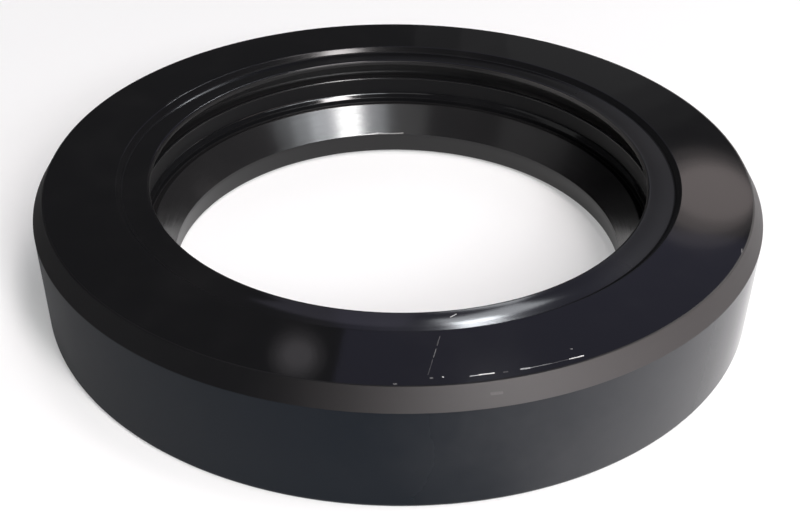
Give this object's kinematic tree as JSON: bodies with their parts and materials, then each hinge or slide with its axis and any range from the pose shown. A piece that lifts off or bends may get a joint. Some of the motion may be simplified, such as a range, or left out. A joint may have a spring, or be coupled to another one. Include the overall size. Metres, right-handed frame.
{
  "type": "oil seal",
  "caption": "Rubber-covered ring that presses into a housing bore and seals a rotating shaft with a spring-loaded lip behind a dust lip.",
  "frame": {"origin": "on the shaft's axis, in the plane of the oil-side end face that the seal lies on", "axes": "+Z along the shaft's axis, from the oil side towards the air-side face; +X and +Y are any two radii"},
  "size_m": [0.09, 0.09, 0.015],
  "materials": {
    "rubber": "black, smooth moulded, glossy on the face and satin on the outside",
    "case_steel": "dull grey, pressed sheet",
    "spring_steel": "bright drawn wire"
  },
  "bodies": {
    "root": {"rubber_body": "rubber", "steel_case": "case_steel", "garter_spring": "spring_steel"}
  },
  "joints": []
}
